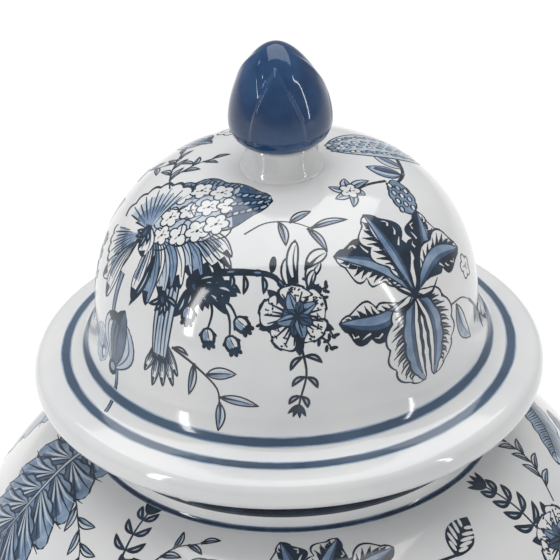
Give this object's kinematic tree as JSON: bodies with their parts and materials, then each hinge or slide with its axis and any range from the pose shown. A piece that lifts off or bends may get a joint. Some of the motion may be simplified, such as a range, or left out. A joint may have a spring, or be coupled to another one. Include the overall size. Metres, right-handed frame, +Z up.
{
  "type": "ginger jar",
  "caption": "Lidded porcelain ginger jar with rounded shoulders, a short neck and a lift-off domed lid with a bud finial, for storing or display.",
  "frame": {"origin": "centre of the foot ring, on the surface the jar stands on", "axes": "+Z up along the axis that every piece is turned about; azimuth 0 is the side facing -Y"},
  "size_m": [0.1904, 0.1904, 0.3556],
  "materials": {
    "glazed_porcelain": "glossy",
    "cobalt_glaze": "glossy",
    "biscuit": "matte"
  },
  "bodies": {
    "jar": {"jar_body": "glazed_porcelain"},
    "lid": {"lid_dome": "glazed_porcelain", "lid_collar": "biscuit", "finial_stem": "glazed_porcelain", "finial_bud": "cobalt_glaze"}
  },
  "joints": [
    {"name": "lid_lift", "type": "slide", "parent": "jar", "child": "lid", "axis": [0, 0, 1], "range_m": [0, 0.12]}
  ]
}
